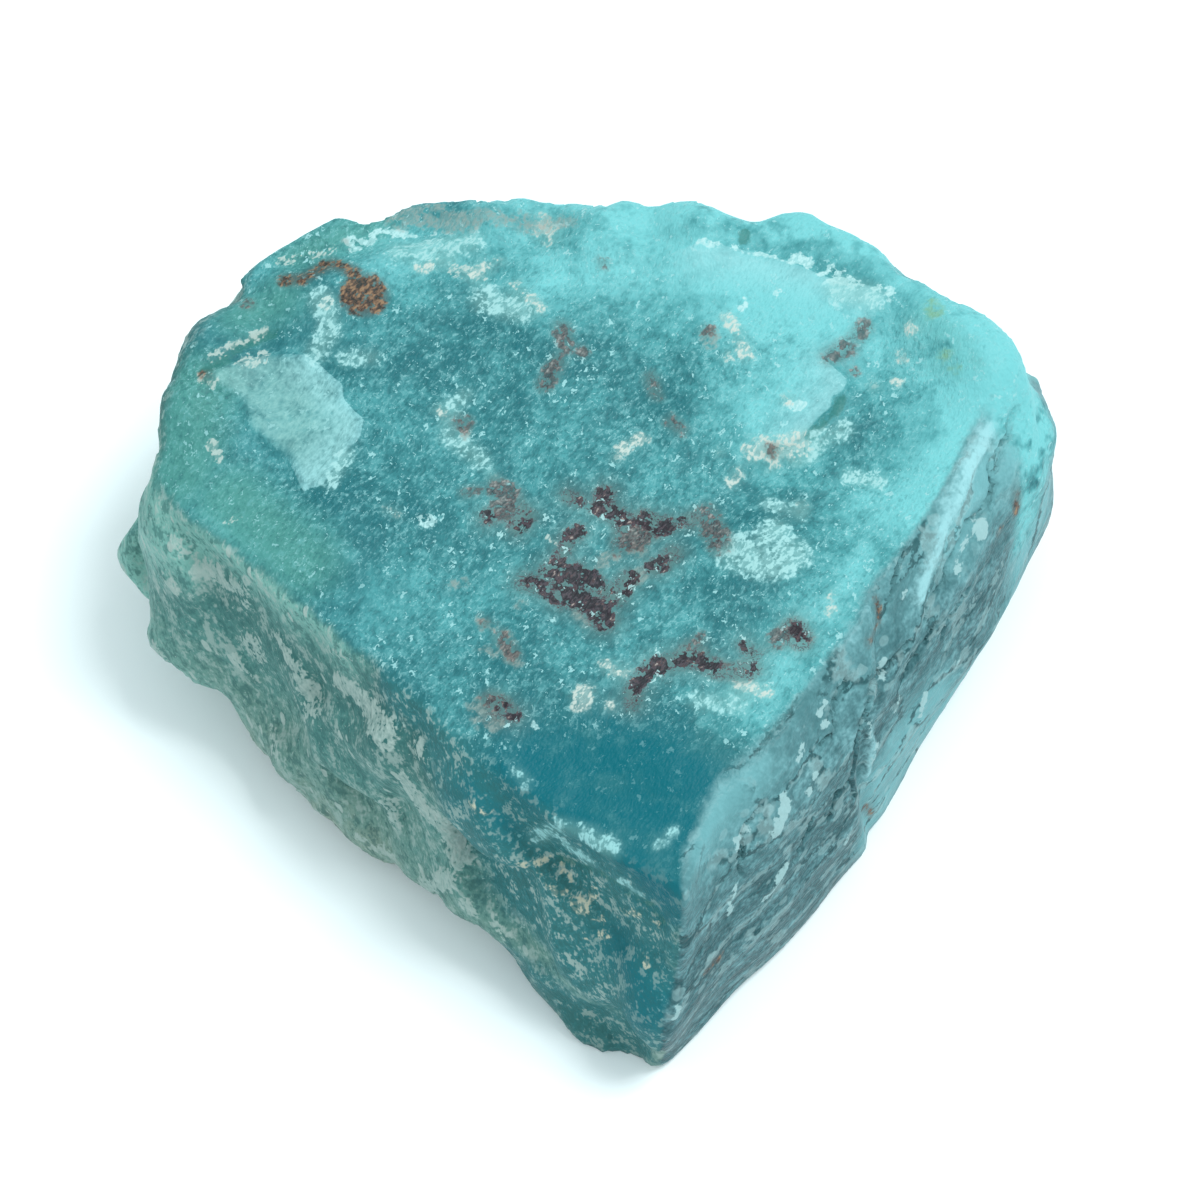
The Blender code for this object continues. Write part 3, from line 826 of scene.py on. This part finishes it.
def roughen(stone, facing):
    """Breaks the surface up layer by layer, then raises or sinks the marks on it."""
    marks = lay_marks(stone, facing)
    for name, kind, grain, rise, where in RELIEF:
        displace(stone, name, rise, where, relief_texture(name, kind), grain)
    raise_mark(stone, "push_out", smooth_step(marks["push"], 0.0, 1.0), PUSH_MM)
    raise_mark(stone, "undercut", marks["undercut"], -UNDERCUT_MM)
    sheet_edge = marks["ledge"] * smooth_step(marks["sheet"], *SHEET_FADE)
    raise_mark(stone, "sheet_edge", sheet_edge, SHEET_RISE_MM)
    for name, rise in RAISED:
        raise_mark(stone, name, smooth_step(marks[name], *RAISED_FADE), rise)
    stone.vertex_groups.clear()
    set_down(stone)


def break_stone(node):
    """The stone: a fine copy of the CAD solid, softened and then roughened, with its marks."""
    stone = fine_copy(node, "raw_stone")
    facing = which_way(stone)
    for where in ("all", "left", "right", "back"):
        weigh(stone, where, facing[where])
    soften(stone, SOFTEN_PASSES, "all")
    soften(stone, SOFTEN_LEFT_PASSES, "left")
    weigh(stone, "worn_rim", worn_rim(stone, facing))
    soften(stone, SOFTEN_RIM_PASSES, "worn_rim")

    facing = which_way(stone)
    roughen(stone, facing)
    for name, shares in lay_marks(stone, facing).items():
        layer = stone.data.attributes.new(name, "FLOAT", "POINT")
        layer.data.foreach_set("value", shares.astype(np.float32))
    pick_up(stone)
    bpy.ops.object.shade_smooth()
    return stone


class Shade:
    """A socket of a shader. Sums, products and the like on it add Math nodes."""

    def __init__(self, tree, socket=None):
        self.tree = tree
        self.socket = socket

    def node(self, kind, settings, sockets, output=0):
        """Adds a node: its settings first, then the values or links of its sockets."""
        made = self.tree.nodes.new(kind)
        for name, setting in settings.items():
            if name == "stops":
                elements = made.color_ramp.elements
                while len(elements) < len(setting):
                    elements.new(1.0)
                for element, (position, shown) in zip(elements, setting):
                    element.position = position
                    element.color = shown
            else:
                setattr(made, name, setting)
        for name, given in sockets.items():
            if isinstance(given, Shade):
                self.tree.links.new(given.socket, made.inputs[name])
            else:
                made.inputs[name].default_value = given
        return Shade(self.tree, made.outputs[output] if made.outputs else None)

    def maths(self, operation, *sides):
        return self.node("ShaderNodeMath", {"operation": operation}, dict(enumerate(sides)))

    def vector_maths(self, operation, *sides):
        return self.node("ShaderNodeVectorMath", {"operation": operation}, dict(enumerate(sides)))

    def __add__(self, other):
        return self.maths("ADD", self, other)

    def __radd__(self, other):
        return self.maths("ADD", other, self)

    def __sub__(self, other):
        return self.maths("SUBTRACT", self, other)

    def __rsub__(self, other):
        return self.maths("SUBTRACT", other, self)

    def __mul__(self, other):
        return self.maths("MULTIPLY", self, other)

    def __rmul__(self, other):
        return self.maths("MULTIPLY", other, self)

    def __neg__(self):
        return self.maths("MULTIPLY", self, -1.0)

    def __abs__(self):
        return self.maths("ABSOLUTE", self)

    def step(self, low, high):
        """0 at low and 1 at high, whichever is the larger."""
        return self.node(
            "ShaderNodeMapRange",
            {"interpolation_type": "SMOOTHSTEP"},
            {"Value": self, "From Min": low, "From Max": high},
        )

    def sister(self, output):
        """Another output of the same node."""
        return Shade(self.tree, self.socket.node.outputs[output])

    def mark(self, name):
        """An attribute of the mesh."""
        return self.node("ShaderNodeAttribute", {"attribute_name": name}, {}, "Fac")

    def ragged(self, name, wobble, low, high):
        """A mark with an edge broken up by a wobble, which is nothing outside the mark."""
        field = self.mark(name)
        return (field + field * wobble).step(low, high)

    def layered(self, where, along, across):
        """Places a pattern by the layers: so many to a mm along them and across them."""
        turn = tuple(BEDDING_TURN.inverted().to_euler())
        turned = self.node(
            "ShaderNodeMapping", {"vector_type": "POINT"}, {"Vector": where, "Rotation": turn}
        )
        return self.vector_maths("MULTIPLY", turned, (along, along, across))

    def noise(self, where, per_mm, detail, roughness):
        return self.node(
            "ShaderNodeTexNoise",
            {},
            {"Vector": where, "Scale": per_mm, "Detail": detail, "Roughness": roughness},
        )

    def specks(self, where, per_mm, size, share):
        """Small spots of all sizes: cells to a mm, the largest in cells, the share of cells."""
        far = self.node("ShaderNodeTexVoronoi", {}, {"Vector": where, "Scale": per_mm}, "Distance")
        chance = self.node("ShaderNodeSeparateColor", {}, {"Color": far.sister("Color")}, "Red")
        spot = (size * chance.sister("Green") - far).step(0.0, 0.08)
        return spot * chance.step(1.0 - share, 1.02 - share)

    def ramp(self, value, *stops):
        """A colour that runs through these stops."""
        return self.node("ShaderNodeValToRGB", {"stops": stops}, {"Fac": value})

    def coat(self, colour, *coats):
        """A colour under coats of others, each given as its share and its colour."""
        for share, over in coats:
            colour = self.node(
                "ShaderNodeMix", {"data_type": "RGBA"}, {0: share, 6: colour, 7: over}, 2
            )
        return colour

    def skin(self, sockets):
        """The surface of the material, with these sockets."""
        surface = self.node("ShaderNodeBsdfPrincipled", {}, sockets)
        self.node("ShaderNodeOutputMaterial", {}, {"Surface": surface})


def swing(p, **shares):
    """A sum of the named noises that swings about 0, with so much of each."""
    first, *others = [(getattr(p, name) - 0.5) * share for name, share in shares.items()]
    return sum(others, first)


def stone_patterns(s):
    """The noises, specks and cracks that the colours of the stone are made of, by name."""
    metres = s.node("ShaderNodeTexCoord", {}, {}, "Object")
    spot = s.vector_maths("MULTIPLY", metres, (1.0 / MM,) * 3)
    plates = s.layered(spot, along=0.5, across=1.4)
    strokes = s.layered(spot, along=0.7, across=1.7)
    sheets = s.layered(spot, along=0.16, across=1.5)
    p = SimpleNamespace(
        height_mm=s.node("ShaderNodeSeparateXYZ", {}, {"Vector": spot}, "Z"),
        clouds=s.noise(spot, per_mm=0.16, detail=2.0, roughness=0.55),
        mottle=s.noise(spot, per_mm=0.8, detail=2.0, roughness=0.62),
        micro=s.noise(spot, per_mm=2.0, detail=2.0, roughness=0.7),
        fine=s.noise(strokes, per_mm=3.2, detail=1.5, roughness=0.75),
        platy=s.noise(plates, per_mm=1.0, detail=3.0, roughness=0.68),
        strata=s.noise(sheets, per_mm=1.0, detail=2.5, roughness=0.64),
        dashes=s.specks(plates, per_mm=1.3, size=0.42, share=0.4),
    )
    bend = s.node("ShaderNodeCombineXYZ", {}, {"X": p.micro, "Y": p.fine, "Z": p.mottle})
    bent = s.vector_maths("MULTIPLY_ADD", bend, (1.2,) * 3, spot)
    swayed = s.vector_maths("MULTIPLY_ADD", bend, (0.6,) * 3, spot)
    p.flecks = s.specks(bent, per_mm=1.7, size=0.36, share=0.5)
    p.grains = s.specks(bent, per_mm=3.7, size=0.32, share=0.48)
    p.split = s.node(
        "ShaderNodeTexVoronoi",
        {"feature": "DISTANCE_TO_EDGE"},
        {"Vector": s.layered(swayed, along=0.13, across=0.75), "Scale": 1.0},
        "Distance",
    )
    p.curls = abs(p.micro - 0.5).step(0.04, 0.012)
    p.blend = p.fine * 0.75 + p.micro * 0.25
    p.slaty = p.strata * 0.55 + p.platy * 0.75 - 0.21
    p.scaly = p.platy + swing(p, micro=0.5, fine=0.5)
    p.patchy = p.mottle + swing(p, micro=0.8, fine=0.9)
    p.grit = swing(p, fine=1.6)
    p.wobble = swing(p, mottle=2.4, micro=1.8)
    p.calm = s.mark("calm").step(0.2, 0.9)
    p.dull = s.mark("dull").step(0.22, 0.50)
    p.right = (s.mark("right_wall") + swing(p, mottle=0.6, micro=0.5)).step(0.15, 0.9)
    return p


def top_colour(s, p):
    """The body of the stone: cloudy turquoise, green on the left, with a few olive spots, and
    painted glow along the back and right rims and at the far end.
    """
    body = swing(p, clouds=0.55, mottle=0.45) + 0.46
    # Painted glow: lighter along the back and right rims and at the far end.
    body = body + s.mark("light") * 0.40 + s.mark("far_end") * (p.mottle * 1.6 - 0.3)
    body = body - s.mark("deep") * 0.48 - s.mark("front") * 0.14
    stain = (s.mark("stain") + swing(p, mottle=0.6)).step(0.3, 0.9)
    olive = s.ragged("olive", p.wobble, 0.25, 0.7)
    return s.coat(
        s.ramp(body, (0.05, DEEP_TEAL), (0.38, TEAL), (0.60, TURQUOISE), (0.85, LIGHT_TURQUOISE)),
        (s.mark("green").step(0.3, 0.9) * 0.75, GREEN_TEAL),
        (stain * 0.4, GREEN_TEAL),
        (olive * 0.6, OLIVE),
    )


def flecked(s, p, colour):
    """Brushed flecks and single grains, fewer where the stone is calm or deep."""
    deep = s.mark("deep").step(0.2, 0.8)
    busy = 1.0 - p.calm * 0.35 - deep * 0.8 - s.mark("front") * 0.3
    # Fewer dark flecks where the glow is painted.
    shown = 0.5 - s.mark("light") * 0.3 - s.mark("far_end") * 0.3
    brush = swing(p, micro=0.8, fine=0.9) * busy
    tufted = brush + swing(p, mottle=0.25)
    glitter = p.curls * tufted.step(-0.04, 0.10) * busy
    gloom = p.curls * (-brush).step(-0.02, 0.08) * busy
    return s.coat(
        colour,
        (tufted.step(0.0, 0.30) * 0.55, FLECK),
        ((-tufted).step(0.0, 0.28) * shown, FLECK_DARK),
        (glitter * 0.35, FLECK_BRIGHT),
        (gloom * (shown - 0.1), FLECK_DARK),
        (p.flecks * busy * 0.85, FLECK_BRIGHT),
        (p.grains * busy * 0.85, FLECK_BRIGHT),
        (p.dull * 0.28, HALO),
        (p.grains * p.dull * 0.7, GLINT_WHITE),
    )


def front_colour(s, p, colour):
    """The front corner below the deep part: teal, with pale patches and painted shade at its foot.
    """
    front = s.mark("front") * (1.0 - s.mark("deep"))
    return s.coat(
        colour,
        (front.step(0.1, 0.8) * 0.65, FRONT_GREEN),
        (front * p.patchy.step(0.54, 0.72) * 0.75, WALL_PALE),
        (front * p.patchy.step(0.48, 0.34) * 0.5, WALL_DARK),
        # Painted shade: darker towards the foot of the front corner.
        (front * p.height_mm.step(5.5, 0.5) * 0.5, WALL_DARK),
    )


def back_colour(s, p, colour):
    """The sides turned away: patches of all the colours of the walls."""
    back = s.mark("back")
    return s.coat(
        colour,
        (back * p.patchy.step(0.50, 0.36) * 0.6, DEEP_TEAL),
        (back * p.scaly.step(0.52, 0.70) * 0.55, WALL_HAZE_AND_GLOW),
        (back * p.clouds.step(0.45, 0.62) * 0.6, WALL_MID),
    )


def left_wall_colour(s, p, colour):
    """The left wall: darker green up the wall, a painted glow at the foot and painted shade where
    marked, scaly all over.
    """
    # Darker up the wall, with a painted glow at the foot and painted shade where the shade marks
    # lie.
    up = p.height_mm * 0.05 + swing(p, mottle=0.4, platy=0.4) + s.mark("shade") * 0.15
    chalk = s.ragged("chalk", swing(p, platy=2.6, micro=2.0) + p.grit * 0.8, 0.40, 0.56)
    wall = s.coat(
        s.ramp(up, (0.02, BASE_GLOW), (0.28, WALL_SOFT), (0.60, WALL_MID), (0.98, WALL_DARK)),
        # Painted glow where the glow marks lie.
        (s.mark("glow").step(0.1, 0.9) * 0.85, WALL_HAZE_AND_GLOW),
        (p.scaly.step(0.50, 0.68) * 0.6, WALL_PALE),
        (p.scaly.step(0.49, 0.35) * 0.6, WALL_DARK),
        (p.dashes * 0.85, WALL_PALE),
        (p.grains * 0.6, WALL_PALE),
        (chalk * (0.7 + p.grit * 0.8), WALL_PALE),
    )
    left = (s.mark("left_wall") + swing(p, mottle=0.8, platy=0.6)).step(0.15, 0.95)
    return s.coat(colour, (left * WALL_COVER, wall))


def right_wall_colour(s, p, colour):
    """The right wall: slaty and brushed, with thin dark seams, a pale strip of painted sheen and a
    painted glow.
    """
    slate = p.slaty + swing(p, fine=0.7, mottle=0.35, micro=0.3)
    lit_under_rim = (p.height_mm + swing(p, mottle=8.0)).step(10.0, 20.0)
    broken = 1.0 - p.calm * 0.8
    split = p.split + swing(p, micro=0.12)
    cracks = split.step(0.05, 0.015) * (p.mottle * 0.5 + p.strata).step(0.62, 0.74)
    lips = split.step(0.11, 0.06) * (p.strata - p.mottle).step(0.0, 0.12)
    strip = s.ragged("strip", p.wobble * 0.5 + p.grit * 0.4, 0.25, 0.80)
    lens = s.ragged("lens", p.wobble * 0.8, 0.45, 0.54)
    seam = s.ragged("seam", p.wobble * 0.25, 0.40, 0.58)
    wall = s.coat(
        s.ramp(slate, (0.22, SLATE_DARK), (0.43, SLATE), (0.60, SLATE_LIGHT), (0.84, SLATE_PALE)),
        # Painted light: the right wall lighter towards the rim, then a painted glow where the glow
        # marks lie.
        (lit_under_rim * 0.32, BLUE_GLOW),
        (s.mark("glow").step(0.1, 0.8) * 0.75, BLUE_GLOW),
        (cracks * broken * 0.85, SEAM_DARK),
        (lips * broken * 0.4, LENS_BLUE),
        (p.dashes * broken * 0.3, LENS_BLUE),
        # Painted sheen along the strip.
        (strip * 0.8, SHEEN_STRIP),
        (lens * 0.85, LENS_BLUE),
        (seam * 0.9, SEAM_DARK),
    )
    return s.coat(colour, (p.right * WALL_COVER, wall))


def pale_marks(s, p, colour):
    """Painted shadow in the gaps, the sheet and the flake, then frost, glints, pale grains, cream
    and smudges.
    """
    ledge = s.mark("ledge")
    sheet = (s.mark("sheet") + p.grit * 0.012).step(0.492, 0.508)
    flake = s.mark("flake") + p.wobble * 0.05 + p.grit * 0.03
    veil = swing(p, mottle=0.9) + p.grit * 0.6
    grained = (p.blend + swing(p, mottle=0.15)).step(0.47, 0.57)
    haze = s.mark("pale") + s.mark("frost") + s.mark("speckled") * 0.5 + p.wobble * 0.1
    gap = s.ragged("gap", p.wobble * 0.5, 0.40, 0.60)
    frost = s.ragged("frost", p.wobble * 1.7, 0.38, 0.72)
    glint = s.ragged("glint", p.wobble, 0.42, 0.54)
    pale = s.ragged("pale", p.wobble * 1.1, 0.42, 0.70)
    speckled = s.ragged("speckled", p.wobble * 0.96 + p.grit * 0.8, 0.42, 0.56)
    cream = s.ragged("cream", swing(p, platy=2.4) + p.wobble * 0.8, 0.44, 0.60)
    smudge = s.ragged("smudge", p.wobble * 1.2, 0.30, 0.70)
    return s.coat(
        colour,
        # Painted shadow in the gaps.
        (gap * 0.7, GAP_SHADOW_GREEN),
        (sheet * ledge.step(0.15, 0.95) * (0.7 + p.grit * 0.3), SHEET_EDGE),
        (flake.step(0.45, 1.0) * (0.55 + veil), FROSTED),
        (flake.step(0.47, 0.53) * ledge.step(0.1, 0.6) * (0.5 + veil), SHEET_EDGE),
        (frost * (0.3 + grained * 0.6), SHEET_EDGE),
        (frost * grained * (0.5 - s.mark("front") - s.mark("deep")), GLINT_WHITE),
        (glint * (0.6 + grained * 0.4), GLINT_WHITE),
        (haze.step(0.1, 0.9) * 0.35, FROSTED),
        (pale * (0.25 + grained * 0.7), CREAM),
        (speckled * (0.15 + grained * 0.5), CREAM),
        (cream * (0.2 + grained * 0.7), WALL_CREAM),
        (smudge * (0.35 + grained * 0.3), BEIGE_PINK),
    )


def ore_and_rust(s, p, colour):
    """Red ore, rust and dark ore, each in a dull halo."""
    red_ore = s.mark("red_ore")
    dark_ore = s.mark("dark_ore")
    halo = (red_ore + dark_ore + p.wobble * 0.15).step(0.12, 0.6)
    veins = p.curls * (dark_ore + red_ore * 0.5).step(0.15, 0.5)
    rusty = (s.mark("rust") + p.wobble * 0.1).step(0.2, 0.7)
    clumpy = swing(p, mottle=3.0, micro=3.0) + p.grit * 0.5
    red = s.ragged("red_ore", clumpy * 1.2, 0.42, 0.74)
    rust = s.ragged("rust", clumpy * 0.8, 0.40, 0.74)
    dark = s.ragged("dark_ore", clumpy * 1.1, 0.46, 0.56)
    red_colour = s.ramp(
        p.blend, (0.38, BLACK_ORE), (0.48, BROWN_ORE), (0.58, RED_GRAIN), (0.68, PINK_GRAIN)
    )
    rust_colour = s.coat(
        s.ramp(p.fine, (0.42, RUST_DARK), (0.51, RUST_BROWN), (0.64, RUST_TAN)),
        (p.curls * 0.25, RUST_TAN),
    )
    dark_colour = s.ramp(
        p.blend, (0.50, BLACK_ORE), (0.56, PURPLE_ORE), (0.63, BROWN_ORE), (0.70, PINK_GRAIN)
    )
    return s.coat(
        colour,
        (halo * 0.35, HALO),
        (veins * 0.75, PURPLE_ORE),
        (red * 0.65, red_colour),
        (rusty * 0.45, RUST_BROWN),
        (rust * 0.85, rust_colour),
        (dark * 0.92, dark_colour),
        (p.flecks * p.dull * 0.7, GLINT_WHITE),
    )


def new_finish(name):
    """A material without nodes, and a Shade that adds them."""
    material = bpy.data.materials.new(name)
    material.use_nodes = True
    material.node_tree.nodes.clear()
    return material, Shade(material.node_tree)


def feldspar():
    """Blue-green feldspar: cloudy turquoise full of pale flecks, with dark and rusty grains."""
    material, s = new_finish("feldspar")
    p = stone_patterns(s)
    colour = flecked(s, p, top_colour(s, p))
    colour = back_colour(s, p, front_colour(s, p, colour))
    colour = right_wall_colour(s, p, left_wall_colour(s, p, colour))
    colour = ore_and_rust(s, p, pale_marks(s, p, colour))
    left_relief = p.platy * s.mark("left_wall") * 0.9
    right_relief = p.slaty * s.mark("right_wall") * 1.1
    bump = s.node(
        "ShaderNodeBump",
        {},
        {
            "Strength": BUMP_STRENGTH,
            "Distance": BUMP_MM * MM,
            "Height": p.fine * 0.45 + left_relief + right_relief,
        },
    )
    s.skin(
        {
            "Base Color": colour,
            "Roughness": ROUGHNESS + p.grit * 0.2 - p.right * 0.08,
            "IOR": REFRACTION,
            "Specular IOR Level": GLOSS,
            "Normal": bump,
        }
    )
    return material


def lay_floor():
    """A plain white table top."""
    material, s = new_finish("white_table")
    s.skin({"Base Color": FLOOR_WHITE, "Roughness": FLOOR_ROUGHNESS})
    bpy.ops.object.select_all(action="DESELECT")
    bpy.ops.mesh.primitive_plane_add(size=FLOOR_SIZE)
    floor = bpy.context.object
    floor.name = "table_top"
    floor.data.materials.append(material)


def light_room():
    """A white room, and a soft square window on the right that faces the stone."""
    scene = bpy.context.scene
    world = bpy.data.worlds.new("white_room")
    scene.world = world
    world.use_nodes = True
    sky = world.node_tree.nodes["Background"]
    sky.inputs["Color"].default_value = SKY
    sky.inputs["Strength"].default_value = SKY_STRENGTH

    bpy.ops.object.light_add(type="AREA", location=WINDOW_PLACE)
    window = bpy.context.object
    window.name = "window"
    window.data.shape = "SQUARE"
    window.data.size = WINDOW_SIZE
    window.data.energy = WINDOW_POWER
    way = Vector(WINDOW_PLACE) - Vector(LOOK_AT_MM) * MM
    window.rotation_euler = way.to_track_quat("Z", "Y").to_euler()

    scene.cycles.max_bounces = LIGHT_BOUNCES
    scene.cycles.diffuse_bounces = LIGHT_BOUNCES
    scene.view_settings.view_transform = "Standard"
    scene.view_settings.look = "None"


def set_camera():
    """The camera looks down on the stone from the front."""
    tilt = math.radians(90.0 - CAMERA_ELEVATION)
    away = Vector((0.0, -math.sin(tilt), math.cos(tilt))) * CAMERA_FAR_MM
    bpy.ops.object.camera_add(
        location=(Vector(LOOK_AT_MM) + away) * MM, rotation=(tilt, 0.0, 0.0)
    )
    camera = bpy.context.object
    camera.name = "camera"
    camera.data.lens = LENS
    camera.data.sensor_width = SENSOR
    camera.data.clip_start = NEAREST_SEEN
    bpy.context.scene.camera = camera


stone = break_stone(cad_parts["amazonite"])
stone.data.materials.clear()
stone.data.materials.append(feldspar())
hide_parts("amazonite")
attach(stone, "root")
lay_floor()
light_room()
set_camera()
